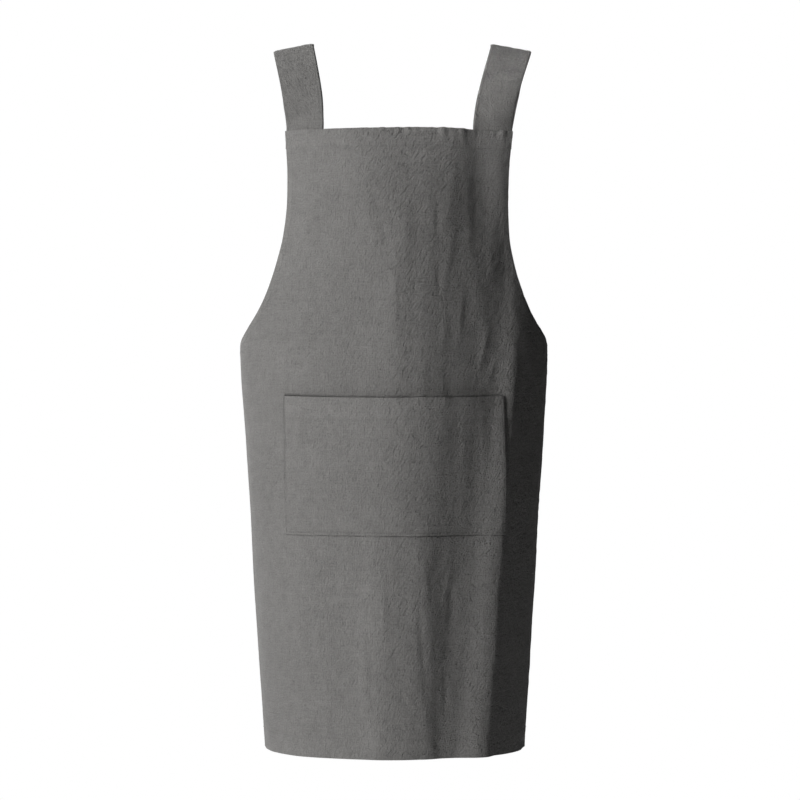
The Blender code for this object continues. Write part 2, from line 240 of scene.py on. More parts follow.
# A stitch's rings, from end to end: their places and widths as shares, and how far they stand out
StitchRing = namedtuple("StitchRing", "along width lift")
STITCH_RINGS = (
    StitchRing(-0.50, 0.35, -0.60),
    StitchRing(-0.25, 1.00, 0.75),
    StitchRing(0.25, 1.00, 0.75),
    StitchRing(0.50, 0.35, -0.60),
)

# The straps' own small and wide puckers, which fade out towards both ends
PuckerSize = namedtuple("PuckerSize", "height across along")
STRAP_PUCKERS = (
    PuckerSize(0.00035, 0.0075, 0.012),
    PuckerSize(0.0013, 0.030, 0.045),
)
PUCKER_FADE = 0.060
PUCKER_SEED = 40
PUCKER_SEED_STEP = 5
# How far the straps' texture is moved on the cloth, and a distance at which no seam shows
STRAP_MAP_SHIFT = 0.3
NO_SEAM = 0.05
EDGE_ROUNDNESS = 14

# The weave: threads 0.62 mm apart, and how soon one passes over the other
THREAD = 0.00062
OVER_EDGE = 0.35
THREAD_SHADE = 0.05
THREAD_DEPTH = 0.00006
SLUB_DEPTH = 0.0010
WEFT_SHARE = 0.6
TWIST_SCALE = 2600.0
TWIST_DEPTH = 0.0001
THREAD_DARK = (0.10, 0.099, 0.096, 1.0)
THREAD_LIGHT = (0.21, 0.208, 0.203, 1.0)

# Where the pocket's mouth and foot pull the panel in, and a painted shadow darkens the panel along them
MOUTH_GROOVE = 0.0022
FOOT_GROOVE = 0.0010
FOOT_GROOVE_SHARE = 0.4
GROOVE_FADE = 0.04
GROOVE_PAINTED_SHADOW = 0.24
GROOVE_DEPTH = 0.0022

# Stitched seams, which pull the cloth in and darken it with painted shade, and the hems beside them
SEAM_WIDTH = 0.0011
LEVEL_SEAM_SHARE = 0.4
LEAST_PULL = 0.4
HEM_EDGE = 0.0008
HEM_SHADE = 0.02
HEM_THICKNESS = 0.35

# The range of the shade that is spread from dark to light, and what the weft's slubs do to the roughness
SHADE_RANGE = (0.45, 0.87)
FULL_RANGE = (0.0, 1.0)
ROUGHNESS_RANGE = (0.98, 0.84)

# Noise of the cloth: its size across and along, detail and seed, and its weight in the shade
Layer = namedtuple("Layer", "across along detail seed roughness", defaults=(0.55,))
WEFT_SLUB = Layer(0.014, 0.0012, 3.0, 1.0)
LONG_SLUB = Layer(0.060, 0.0028, 2.0, 2.0)
WARP_SLUB = Layer(0.0013, 0.014, 3.0, 3.0)
GRAIN = Layer(0.0017, 0.0021, 4.0, 7.0)
MOTTLE = Layer(0.012, 0.016, 3.0, 4.0)
CLOUD = Layer(0.055, 0.075, 2.0, 5.0)
SHADE_WEIGHTS = {
    WEFT_SLUB: 0.17,
    LONG_SLUB: 0.09,
    WARP_SLUB: 0.26,
    GRAIN: 0.46,
    MOTTLE: 0.20,
    CLOUD: 0.14,
}

# The finest crinkle, its pits and its slant, and how much of it is left where the cloth is smoothest
CREPE = Layer(0.0032, 0.0044, 5.0, 6.0, 0.72)
PITS = Layer(0.0046, 0.0080, 3.0, 8.0)
PIT_RANGE = (0.34, 0.46)
PIT_SHARE = 0.35
CREPE_SLANT = 0.55
LEAST_CREPE = 0.28

# A linen's darkest and lightest colour, the depths of its crepe and seams, how much painted shade darkens
# its seams, whether its crepe is stronger on one side, and whether the pocket pulls it in with a painted
# shadow along its mouth and foot
Linen = namedtuple("Linen", "dark light crepe_depth seam_depth seam_shade uneven grooved")
DARK = (0.102, 0.100, 0.097, 1.0)
LIGHT = (0.226, 0.221, 0.214, 1.0)
STRAP_DARK = (0.089, 0.087, 0.084, 1.0)
STRAP_LIGHT = (0.191, 0.187, 0.181, 1.0)
LINENS = {
    "panel_linen": Linen(DARK, LIGHT, 0.0044, 0.00012, 0.012, True, True),
    "pocket_linen": Linen(DARK, LIGHT, 0.0044, 0.0003, 0.070, True, False),
    "strap_linen": Linen(STRAP_DARK, STRAP_LIGHT, 0.0018, 0.0003, 0.040, False, False),
}

# The camera, level and straight in front
CAMERA_PLACE = (-0.003, -3.6, -0.458)
CAMERA_LENS = 124.6
SENSOR_WIDTH = 36.0

# The floor, which glows for the camera only, the world and the lights
FLOOR_Z = -1.6
FLOOR_HALF = 4.0
FLOOR_GLOW = 0.78
WHITE = (1.0, 1.0, 1.0, 1.0)
WORLD_COLOUR = (0.97, 0.98, 1.0, 1.0)
WORLD_LIGHT = 0.018
MIDDLE = (0.0, 0.0, -0.46)
KEY_TURN = math.radians(44)
KEY_DISTANCE = 2.7
KEY_PLACE = (-KEY_DISTANCE * math.sin(KEY_TURN), -KEY_DISTANCE * math.cos(KEY_TURN), 0.05)
Lamp = namedtuple("Lamp", "name place target width height power spread")
LAMPS = (
    Lamp("key", KEY_PLACE, (0.0, 0.0, -0.36), 0.8, 1.5, 88.0, math.pi),
    Lamp("top", (-0.25, -0.12, 0.9), (0.0, -0.03, -0.05), 0.5, 0.5, 9.0, math.pi),
    Lamp("shoulder", (0.55, -1.5, 0.55), (0.145, -0.08, -0.075), 0.12, 0.12, 0.05, math.radians(11)),
    Lamp("back_key", (-1.6, 2.6, 0.3), MIDDLE, 1.4, 1.6, 80.0, math.pi),
    Lamp("back_fill", (0.5, 3.0, 0.8), MIDDLE, 1.6, 1.6, 12.0, math.pi),
)

# Grid steps
BIB_ROWS = 104
SKIRT_ROWS = 228
FRONT_COLUMNS = 172
WING_COLUMNS = 46
POCKET_ROWS = 92
POCKET_COLUMNS = 160
STRAP_COLUMNS = 22
STRAP_LAP_ROWS = 14
STRAP_ARCH_ROWS = 96
STRAP_BACK_ROWS = 150
EDGE_STEP = 0.003
TABLE_LEVELS = 301
TABLE_SHARES = 401
SECTION_SAMPLES = 361
ARMHOLE_SAMPLES = 400
SLOPE_STEP = 0.0006
LIFT_STEP = 0.001
RUN_STEP = 0.0001
NOISE_PERIOD = 256
NOISE_GAIN = 1.6
MERGE_GAP = 0.000002


def column_of(table, name):
    """One column of a table."""
    return np.array([getattr(row, name) for row in table])


def smooth_curve(places, values, at):
    """A smooth curve through values, which never overshoots them, read at any place."""
    at = np.clip(np.asarray(at, dtype=float), places[0], places[-1])
    steps = np.diff(places)
    rises = np.diff(values) / steps
    slopes = np.zeros(len(places))
    slopes[0] = rises[0]
    slopes[-1] = rises[-1]
    for row in range(1, len(places) - 1):
        before = rises[row - 1]
        after = rises[row]
        if before * after > 0:
            slopes[row] = 2 * before * after / (before + after)
    row = np.clip(np.searchsorted(places, at, side="right") - 1, 0, len(steps) - 1)
    step = steps[row]
    share = (at - places[row]) / step
    risen = values[row] + (values[row + 1] - values[row]) * share**2 * (3 - 2 * share)
    leaving = slopes[row] * step * share * (1 - share) ** 2
    arriving = slopes[row + 1] * step * share**2 * (share - 1)
    return risen + leaving + arriving


def read_table(table, place, column, at):
    """One column of a table at any place, as smooth_curve reads it."""
    return smooth_curve(column_of(table, place), column_of(table, column), at)


def unit(vectors):
    """Vectors of length 1."""
    return vectors / np.linalg.norm(vectors, axis=-1, keepdims=True)


def running(points):
    """The length from the first of a row of points to each."""
    return np.concatenate([[0.0], np.cumsum(np.linalg.norm(np.diff(points, axis=0), axis=1))])


def left_of(outs, heights):
    """Unit directions on the cloth to the left of a line on it."""
    along_out = np.gradient(outs)
    along_z = np.gradient(heights)
    length = np.hypot(along_out, along_z)
    return -along_z / length, along_out / length


def add_object(name, data):
    """Adds an object to the scene."""
    made = bpy.data.objects.new(name, data)
    bpy.context.scene.collection.objects.link(made)
    return made


def add_piece(name, mesh, material):
    """Adds a smooth mesh of one material to the scene."""
    mesh.shade_smooth()
    mesh.materials.append(material)
    return add_object(name, mesh)


def ease(share):
    """Rises smoothly from 0 to 1."""
    share = np.clip(share, 0.0, 1.0)
    return share * share * (3 - 2 * share)


def section_sizes(z):
    """Half width, front depth, back depth and sideways lean of the worn form at heights."""
    drop = -np.asarray(z, dtype=float)
    above = (drop - SIDE_DROP) / (SIDE_DROP - BIB_DROP)
    below = (drop - SIDE_DROP) / (HEM_DROP - SIDE_DROP)
    level = np.where(drop < SIDE_DROP, above, below)
    to_chest, to_hem, lean, front, back = (
        read_table(SECTIONS, "level", name, level) for name in Section._fields[1:]
    )
    widest = BODY_WIDTH / 2
    half_width = widest + (CHEST_WIDTH / 2 - widest) * to_chest + (HEM_WIDTH / 2 - widest) * to_hem
    return half_width, FRONT_DEPTH * front, BACK_DEPTH * back, LEAN * lean


def oval(angle, half_width, front, back):
    """A point of an oval section, at an angle from the middle of the front."""
    ahead = np.cos(angle) > 0
    depth = np.where(ahead, front, back)
    power = np.where(ahead, FRONT_ROUNDNESS, BACK_ROUNDNESS)
    side_term = np.abs(np.sin(angle) / half_width) ** power
    depth_term = np.abs(np.cos(angle) / depth) ** power
    reach = (side_term + depth_term) ** (-1 / power)
    return reach * np.sin(angle), -reach * np.cos(angle)


def section_lengths(z):
    """The angles of a half section and, for each height, the x of each and the cloth's length to it."""
    half_width, front, back, _ = section_sizes(z)
    angles = np.linspace(0.0, math.pi, SECTION_SAMPLES)
    x, y = oval(angles, half_width[:, None], front[:, None], back[:, None])
    lengths = np.hypot(np.diff(x, axis=1), np.diff(y, axis=1))
    lengths = np.concatenate([np.zeros((len(z), 1)), np.cumsum(lengths, axis=1)], axis=1)
    return angles, x, lengths


def angle_table():
    """Heights, half rounds, and the angle at each share of each height's half round."""
    levels = np.linspace(0.0, -HEM_DROP, TABLE_LEVELS)
    angles, _, lengths = section_lengths(levels)
    shares = np.linspace(0.0, 1.0, TABLE_SHARES)
    table = np.array([np.interp(shares * row[-1], row, angles) for row in lengths])
    return levels, lengths[:, -1], table


LEVELS, HALF_ROUNDS, ANGLES = angle_table()


def half_round(z):
    """The cloth's length from the middle of the front to the middle of the back at heights."""
    return np.interp(-z, -LEVELS, HALF_ROUNDS)


def form_point(out, z):
    """Points of the smooth worn form at cloth places, for arrays of one length."""
    half = half_round(z)
    out = np.where(out > half, out - 2 * half, out)
    out = np.where(out < -half, out + 2 * half, out)
    down = np.clip(z / LEVELS[-1] * (TABLE_LEVELS - 1), 0.0, TABLE_LEVELS - 1.001)
    along = np.clip(np.abs(out) / half * (TABLE_SHARES - 1), 0.0, TABLE_SHARES - 1.001)
    row = down.astype(int)
    column = along.astype(int)
    down -= row
    along -= column
    upper = ANGLES[row, column] * (1 - along) + ANGLES[row, column + 1] * along
    lower = ANGLES[row + 1, column] * (1 - along) + ANGLES[row + 1, column + 1] * along
    half_width, front, back, lean = section_sizes(z)
    x, y = oval(upper * (1 - down) + lower * down, half_width, front, back)
    return np.stack([np.sign(out) * x + lean, y, z], axis=1)


def ridge(along, away, inner, outer, fade):
    """The height of a ridge 1 high, which fades at both ends and falls off to both sides."""
    width = np.where(away > 0, outer, inner)
    return ease(along / fade) * ease((1 - along) / fade) * np.exp(-((away / width) ** 2))


def fold_height(out, z):
    """How far the folds lift the cloth off the smooth form."""
    drop = (-z - BIB_DROP) / (HEM_DROP - BIB_DROP)
    total = np.zeros(len(z))
    for fold in FOLDS:
        along = np.clip((drop - fold.top) / (fold.foot - fold.top), 0.0, 1.0)
        middle = (fold.top_out + (fold.foot_out - fold.top_out) * along) * SKIRT_CLOTH_WIDTH / 2
        away = (out - middle) * (1 if fold.top_out >= 0 else -1) / FOLD_WIDTH
        total += fold.height * FOLD_HEIGHT * ridge(along, away, fold.inner, fold.outer, FOLD_FADE)
    return total


def noise(x, y, seed):
    """Smooth seeded noise from about -1 to 1 over cells one unit wide."""
    turns = np.random.default_rng(seed).uniform(0.0, 2 * math.pi, (NOISE_PERIOD, NOISE_PERIOD))
    column = np.floor(x).astype(int)
    row = np.floor(y).astype(int)
    total = np.zeros(len(x))
    for across in (0, 1):
        for up in (0, 1):
            turn = turns[(row + up) % NOISE_PERIOD, (column + across) % NOISE_PERIOD]
            from_x = x - column - across
            from_y = y - row - up
            weight = ease(1 - np.abs(from_x)) * ease(1 - np.abs(from_y))
            total += weight * (np.cos(turn) * from_x + np.sin(turn) * from_y)
    return total * NOISE_GAIN


def crinkle_share(out, z):
    """How crinkled the cloth is, which is most on the right of the front."""
    spread = CRINKLE_SPREAD * ease((z + SIDE_DROP) / (SIDE_DROP - BIB_DROP))
    share = ease((out + spread - CRINKLE_START) / (CRINKLE_FULL - CRINKLE_START))
    on_wing = ease((np.abs(out) - WING_CRINKLE_START) / (WING_CRINKLE_FULL - WING_CRINKLE_START))
    share = np.maximum(share, on_wing)
    return CRINKLE_LEAST + (1 - CRINKLE_LEAST) * share


def crinkle_height(out, z):
    """The small puckers and ripples of washed linen, and the tufts of the bib's top hem."""
    along = out * math.sin(CRINKLE_SLANT) + z * math.cos(CRINKLE_SLANT)
    across = out * math.cos(CRINKLE_SLANT) - z * math.sin(CRINKLE_SLANT)
    across = across + CRINKLE_WANDER * noise(out / WANDER_SIZE, z / WANDER_SIZE, CRINKLE_SEED)
    across /= CRINKLE_ACROSS
    along /= CRINKLE_ALONG
    fine = noise(across, along, CRINKLE_SEED + 1)
    sharp = SHARP_LEVEL - np.abs(noise(across / SHARP_ACROSS, along / SHARP_ALONG, CRINKLE_SEED + 2))
    patch = PATCH_SHARE + PATCH_SHARE * noise(out / PATCH_ACROSS, z / PATCH_ALONG, CRINKLE_SEED + 3)
    ripple = noise(out / RIPPLE_ACROSS, z / RIPPLE_ALONG, CRINKLE_SEED + 4)
    share = crinkle_share(out, z)
    pucker = CRINKLE_HEIGHT * share * patch * (FINE_SHARE * fine + SHARP_SHARE * sharp)
    at_hem = np.exp(-(((z + BIB_EDGE_DROP) / TUFT_REACH) ** 2)) * share
    tuft = TUFT_HEIGHT * at_hem * noise(out / TUFT_WIDTH, z / TUFT_LENGTH, CRINKLE_SEED + 5)
    return pucker + tuft + RIPPLE_HEIGHT * (LEAST_RIPPLE + (1 - LEAST_RIPPLE) * share) * ripple


def crease_height(out, z):
    """The single creases of the front."""
    total = np.zeros(len(z))
    for crease in CREASES:
        along = np.clip((z - crease.top_z) / (crease.foot_z - crease.top_z), 0.0, 1.0)
        away = out - crease.top_out - (crease.foot_out - crease.top_out) * along
        total += crease.height * ridge(along, away, crease.inner, crease.outer, CREASE_FADE)
    return total


def normal_of(point_at, out, z):
    """Unit normals, facing away from the wearer, of a surface given as a function of out and z."""
    across = point_at(out + SLOPE_STEP, z) - point_at(out - SLOPE_STEP, z)
    upward = point_at(out, z + SLOPE_STEP) - point_at(out, z - SLOPE_STEP)
    return unit(np.cross(across, upward))


def folded_point(out, z):
    """Points of the apron's outer face without its crinkle."""
    return form_point(out, z) + normal_of(form_point, out, z) * fold_height(out, z)[:, None]


def cloth_points(outs, heights, lift=0.0):
    """Points lifted off the apron's outer face, from arrays of places and heights of one shape."""
    out = outs.ravel()
    z = heights.ravel()
    away = np.broadcast_to(lift, outs.shape).ravel() + crinkle_height(out, z) + crease_height(out, z)
    points = folded_point(out, z) + normal_of(folded_point, out, z) * away[:, None]
    return points.reshape(outs.shape + (3,))


def armhole():
    """The armhole as cloth places and heights, from the bib's top corner to the wing's corner."""
    outs = BIB_CLOTH_WIDTH + (SKIRT_CLOTH_WIDTH - BIB_CLOTH_WIDTH) * column_of(ARMHOLE, "out")
    outs = outs / 2
    heights = -(BIB_DROP + (BACK_DROP - BIB_DROP) * column_of(ARMHOLE, "down"))
    places = running(np.stack([outs, heights], axis=1))
    at = np.linspace(BIB_EDGE_DROP - BIB_DROP, places[-1], ARMHOLE_SAMPLES)
    return smooth_curve(places, outs, at), smooth_curve(places, heights, at)


ARMHOLE_OUT, ARMHOLE_Z = armhole()


def bib_half_width(z):
    """The cloth's half width at heights of the bib."""
    return np.interp(-z, -ARMHOLE_Z, ARMHOLE_OUT)


def wing_top(out):
    """The height of a wing's top edge at cloth places."""
    narrowest = np.argmin(ARMHOLE_OUT)
    return np.interp(out, ARMHOLE_OUT[narrowest:], ARMHOLE_Z[narrowest:])


def panel_seams(outs, heights):
    """Signed distances from the level hems' stitches and from the side hems', below 0 in the hem."""
    out = np.abs(outs).ravel()
    z = heights.ravel()
    level = np.minimum(-BIB_EDGE_DROP - z - TOP_HEM, z + HEM_EDGE_DROP - SKIRT_HEM)
    beside = SKIRT_CLOTH_WIDTH / 2 - out
    for start in range(0, len(ARMHOLE_OUT), 4):
        beside = np.minimum(beside, np.hypot(out - ARMHOLE_OUT[start], z - ARMHOLE_Z[start]))
    seams = np.stack([level, beside - SIDE_HEM], axis=1)
    return seams.reshape(outs.shape + (2,))


def edge_band(outs, heights, depth, inner_lift, point_at):
    """A hem rolled over an edge and turned back inside, along places and heights in order."""
    inward_out, inward_z = left_of(outs, heights)
    profile = list(ROLL_START)
    for turn in ROLL_TURNS:
        swing = math.radians(turn)
        profile.append((-HEM_ROLL * math.sin(swing), -HEM_ROLL * (1 - math.cos(swing))))
    profile += [(place, inner_lift) for place in (ROLL_END, depth / 2, depth)]
    profile.append((depth + HEM_OVERRUN, inner_lift / 2))
    into, lifts = np.array(profile).T
    band_out = outs + inward_out * into[:, None]
    band_z = heights + inward_z * into[:, None]
    points = point_at(band_out, band_z, lifts[:, None] * np.ones(len(outs)))
    cloth = np.stack([band_out, band_z], axis=2)
    seam = np.broadcast_to(np.abs(into)[:, None, None] - depth, cloth.shape)
    return Grid(points, cloth, seam)


def hems(edges, point_at):
    """Hems along edges, each given by its places and heights, its depth and how deep it lies."""
    return [edge_band(out, z, depth, inner_lift, point_at) for (out, z), depth, inner_lift in edges]


def line(start, end):
    """Evenly spaced places and heights along a straight line on the cloth."""
    count = max(2, int(math.dist(start, end) / EDGE_STEP))
    return np.linspace(start[0], end[0], count), np.linspace(start[1], end[1], count)


def mesh_piece(name, grids, material, closed=False):
    """Makes one piece from grids of points. A closed grid's last column joins its first."""
    points = []
    faces = []
    cloth = []
    seam = []
    first = 0
    for part in grids:
        rows, columns = part.points.shape[:2]
        index = first + np.arange(rows * columns).reshape(rows, columns)
        if closed:
            index = np.concatenate([index, index[:, :1]], axis=1)
        quads = np.stack([index[:-1, :-1], index[1:, :-1], index[1:, 1:], index[:-1, 1:]], axis=2)
        faces.append(quads.reshape(-1, 4))
        points.append(part.points.reshape(-1, 3))
        cloth.append(part.cloth.reshape(-1, 2))
        seam.append(part.seam.reshape(-1, 2))
        first += rows * columns
    points = np.concatenate(points)
    faces = np.concatenate(faces)
    mesh = bpy.data.meshes.new(name)
    mesh.from_pydata(points.tolist(), [], faces.tolist())
    for label, values in (("cloth", np.concatenate(cloth)), ("seam", np.concatenate(seam))):
        layer = mesh.uv_layers.new(name=label)
        layer.data.foreach_set("uv", values[faces.ravel()].ravel())
    mesh.validate()
    work = bmesh.new()
    work.from_mesh(mesh)
    bmesh.ops.remove_doubles(work, verts=work.verts, dist=MERGE_GAP)
    if closed:
        bmesh.ops.holes_fill(work, edges=work.edges, sides=0)
    work.to_mesh(mesh)
    work.free()
    return add_piece(name, mesh, material)


def read_rows(at, places, values):
    """Rows of three values at any places."""
    return np.stack([np.interp(at, places, values[:, axis]) for axis in range(3)], axis=1)


def stitch_row(points, normals):
    """Corner points of small stitches, laid end to end along a row of points."""
    places = running(points)
    count = int(places[-1] / STITCH_PITCH)
    middles = (np.arange(count) + 0.5) * places[-1] / max(count, 1)
    rings = []
    for ring in STITCH_RINGS:
        at = middles + ring.along * STITCH_LENGTH
        middle = read_rows(at, places, points)
        normal = read_rows(at, places, normals)
        ahead = read_rows(at + RUN_STEP, places, points)
        behind = read_rows(at - RUN_STEP, places, points)
        side = unit(np.cross(ahead - behind, normal))
        for turn in range(STITCH_SIDES):
            swing = 2 * math.pi * turn / STITCH_SIDES
            offset = side * math.cos(swing) + normal * math.sin(swing)
            rings.append(middle + (normal * ring.lift + offset * ring.width) * STITCH_RADIUS)
    return np.stack(rings, axis=1)


def stitch_piece(name, rows, material):
    """One piece of all the stitches in several rows."""
    stitches = np.concatenate([stitch_row(points, normals) for points, normals in rows])
    count, corners = stitches.shape[:2]
    faces = []
    for first in range(0, corners - STITCH_SIDES, STITCH_SIDES):
        after = first + STITCH_SIDES
        for turn in range(STITCH_SIDES):
            beside = (turn + 1) % STITCH_SIDES
            faces.append((first + turn, first + beside, after + beside, after + turn))
    index = np.array(faces)[None] + (np.arange(count) * corners)[:, None, None]
    mesh = bpy.data.meshes.new(name)
    mesh.from_pydata(stitches.reshape(-1, 3).tolist(), [], index.reshape(-1, 4).tolist())
    return add_piece(name, mesh, material)


def seam_line(outs, heights, point_at):
    """Points and normals of a row of stitches on the cloth."""
    middle = point_at(outs, heights)
    return middle, unit(point_at(outs, heights, LIFT_STEP) - middle)


def straight_seams(ends, point_at):
    """Rows of stitches between pairs of places on the cloth."""
    return [seam_line(*line(start, end), point_at) for start, end in ends]


def pocket_point(outs, heights, lift=0.0):
    """Points of the pocket, which sags at its mouth and bellies out from its sewn edges."""
    across = np.clip(1 - (2 * outs / POCKET_WIDTH) ** 2, 0.0, 1.0)
    up = np.clip(1 + (heights + POCKET_DROP) / POCKET_DEPTH, 0.0, 1.0)
    belly = CLEARANCE + CLOTH + POCKET_BELLY * np.sqrt(across) * up * (2 - up)
    return cloth_points(outs, heights - POCKET_SAG * across * up, belly + lift)


class Weave:
    """The shader nodes of a material or a world."""

    def __init__(self, owner):
        owner.use_nodes = True
        self.owner = owner
        self.nodes = owner.node_tree.nodes
        self.links = owner.node_tree.links

    def fill(self, node, inputs):
        """Joins outputs to a node's inputs, or sets plain values on them."""
        for place, value in inputs.items():
            if isinstance(value, bpy.types.NodeSocket):
                self.links.new(value, node.inputs[place])
            elif value is not None:
                node.inputs[place].default_value = value

    def paint(self, inputs):
        """Fills the inputs of the material's shader and gives the material."""
        self.fill(self.nodes["Principled BSDF"], inputs)
        return self.owner

    def node(self, kind, inputs, output=0, **settings):
        """An output of a new node with the given inputs and settings."""
        made = self.nodes.new(kind)
        for key, value in settings.items():
            setattr(made, key, value)
        self.fill(made, inputs)
        return made.outputs[output]

    def math(self, operation, first, second=None):
        """One operation on outputs or plain numbers."""
        return self.node("ShaderNodeMath", {0: first, 1: second}, operation=operation)

    def product(self, first, second):
        """The product of two outputs or numbers."""
        return self.math("MULTIPLY", first, second)

    def total(self, *terms):
        """The sum of outputs or numbers."""
        made = terms[0]
        for term in terms[1:]:
            made = self.math("ADD", made, term)
        return made

    def wave(self, place, length):
        """A sine wave of the given length."""
        return self.math("SINE", self.product(place, 2 * math.pi / length))

    def bell(self, distance, width):
        """1 where distance is nothing, falling off within width."""
        squared = self.math("POWER", self.math("ABSOLUTE", self.math("DIVIDE", distance, width)), 2.0)
        return self.math("EXPONENT", self.product(squared, -1.0))

    def step(self, value, start, end):
        """Rises smoothly from 0 at the start to 1 at the end."""
        inputs = {"Value": value, "From Min": start, "From Max": end}
        return self.node("ShaderNodeMapRange", inputs, interpolation_type="SMOOTHSTEP")

    def span(self, value, source, result):
        """A value moved from one range to another."""
        inputs = {"Value": value, "From Min": source[0], "From Max": source[1]}
        inputs.update({"To Min": result[0], "To Max": result[1]})
        return self.node("ShaderNodeMapRange", inputs)

    def map(self, layer):
        """Both coordinates of a UV map."""
        place = self.node("ShaderNodeUVMap", {}, uv_map=layer)
        parts = self.node("ShaderNodeSeparateXYZ", {0: place}).node
        return parts.outputs[0], parts.outputs[1]

    def noise(self, x, y, layer):
        """Noise of a layer's size at a place of the cloth."""
        inputs = {0: self.product(x, 1 / layer.across), 1: self.product(y, 1 / layer.along), 2: layer.seed}
        inputs = {"Vector": self.node("ShaderNodeCombineXYZ", inputs), "Scale": 1.0}
        inputs.update({"Detail": layer.detail, "Roughness": layer.roughness})
        return self.node("ShaderNodeTexNoise", inputs)

    def choose(self, share, first, second):
        """One output where the share is 0 and another where it is 1."""
        return self.node("ShaderNodeMix", {0: share, 2: first, 3: second}, data_type="FLOAT")

    def colour(self, share, dark, light):
        """A colour from dark, where the share is 0, to light."""
        return self.node("ShaderNodeMix", {0: share, 6: dark, 7: light}, output=2, data_type="RGBA")

    def bump(self, height, distance, under=None):
        """A normal raised by a height, on top of another one."""
        inputs = {"Height": height, "Distance": distance, "Strength": 1.0, "Normal": under}
        return self.node("ShaderNodeBump", inputs)

    def seen(self):
        """1 for what the camera sees itself, 0 for light on its way."""
        return self.node("ShaderNodeLightPath", {}, output="Is Camera Ray")


def pocket_groove_and_painted_shadow(weave, out, height):
    """1 along the line at which the pocket's mouth pulls the panel in, less along its foot. It shapes both
    the groove's bump and the painted shadow that darkens the panel's colour there.
    """
    share = weave.product(out, 2 / POCKET_WIDTH)
    across = weave.math("SUBTRACT", 1.0, weave.product(share, share))
    above = weave.total(height, POCKET_DROP, weave.product(across, POCKET_SAG))
    below = weave.total(height, POCKET_DROP + POCKET_DEPTH + FOOT_GROOVE)
    foot = weave.product(weave.bell(below, FOOT_GROOVE), FOOT_GROOVE_SHARE)
    groove_and_painted_shadow = weave.math("MAXIMUM", weave.bell(above, MOUTH_GROOVE), foot)
    outside = weave.math("SUBTRACT", 1.0, weave.node("ShaderNodeNewGeometry", {}, output="Backfacing"))
    return weave.product(weave.product(groove_and_painted_shadow, weave.step(across, 0.0, GROOVE_FADE)), outside)


def thread_pattern(weave, out, height):
    """The weft and warp threads of a plain weave, each on top in turn."""
    over_and_under = weave.product(weave.wave(height, 2 * THREAD), weave.wave(out, 2 * THREAD))
    over = weave.step(over_and_under, -OVER_EDGE, OVER_EDGE)
    return weave.choose(over, weave.wave(height, THREAD), weave.wave(out, THREAD))


def crepe(weave, out, height, uneven):
    """The finest crinkle and its pits, slanting like the threads' pull."""
    slanted = weave.math("SUBTRACT", out, weave.product(height, CREPE_SLANT))
    pits = weave.step(weave.noise(slanted, height, PITS), *PIT_RANGE)
    small = weave.total(weave.noise(slanted, height, CREPE), weave.product(pits, PIT_SHARE))
    if not uneven:
        return small
    spread = weave.product(weave.step(height, -SIDE_DROP, -BIB_DROP), CRINKLE_SPREAD)
    front = weave.step(weave.total(out, spread), CRINKLE_START, CRINKLE_FULL)
    wings = weave.step(weave.math("ABSOLUTE", out), WING_CRINKLE_START, WING_CRINKLE_FULL)
    strength = weave.product(weave.math("MAXIMUM", front, wings), 1 - LEAST_CREPE)
    return weave.product(small, weave.total(strength, LEAST_CREPE))


def linen(name):
    """Plain-woven washed linen, with slubs, mottling, worn edges, pulled seams with painted shade along
    them, and painted shadow where the pocket pulls the panel in.
    """
    look = LINENS[name]
    weave = Weave(bpy.data.materials.new(name))
    out, height = weave.map("cloth")
    level, beside = weave.map("seam")
    threads = thread_pattern(weave, out, height)
    noises = {layer: weave.noise(out, height, layer) for layer in SHADE_WEIGHTS}
    shade = weave.total(*(weave.product(noises[layer], SHADE_WEIGHTS[layer]) for layer in noises))

    # A seam's line both bumps the cloth in and darkens its colour with painted shade
    level_seam = weave.product(weave.bell(level, SEAM_WIDTH), LEVEL_SEAM_SHARE)
    seam = weave.math("MAXIMUM", level_seam, weave.bell(beside, SEAM_WIDTH))
    in_level_hem = weave.step(weave.product(level, -1.0), 0.0, HEM_EDGE)
    in_side_hem = weave.step(weave.product(beside, -1.0), 0.0, HEM_EDGE)
    hem = weave.math("MAXIMUM", in_level_hem, in_side_hem)
    shade = weave.total(
        shade,
        weave.product(seam, -look.seam_shade),
        weave.product(hem, HEM_SHADE),
        weave.product(threads, THREAD_SHADE),
    )
    # Painted shadow: a dark line in the panel's colour along the pocket's mouth and, weaker, along its
    # foot
    if look.grooved:
        groove_and_painted_shadow = pocket_groove_and_painted_shadow(weave, out, height)
        shade = weave.total(shade, weave.product(groove_and_painted_shadow, -GROOVE_PAINTED_SHADOW))

    normal = weave.bump(threads, THREAD_DEPTH)
    slubs = weave.total(weave.product(noises[WEFT_SLUB], WEFT_SHARE), noises[GRAIN], noises[WARP_SLUB])
    normal = weave.bump(slubs, SLUB_DEPTH, normal)
    normal = weave.bump(crepe(weave, out, height, look.uneven), look.crepe_depth, normal)
    pull = weave.product(seam, weave.total(noises[MOTTLE], LEAST_PULL))
    pressed = weave.math("SUBTRACT", weave.product(hem, HEM_THICKNESS), pull)
    normal = weave.bump(pressed, look.seam_depth, normal)
    if look.grooved:
        normal = weave.bump(weave.product(groove_and_painted_shadow, -1.0), GROOVE_DEPTH, normal)
    inputs = {
        "Base Color": weave.colour(weave.span(shade, SHADE_RANGE, FULL_RANGE), look.dark, look.light),
        "Roughness": weave.span(noises[WEFT_SLUB], FULL_RANGE, ROUGHNESS_RANGE),
        "Specular IOR Level": 0.25,
        "Sheen Weight": 0.04,
        "Sheen Roughness": 0.5,
        "Normal": normal,
    }
    return weave.paint(inputs)


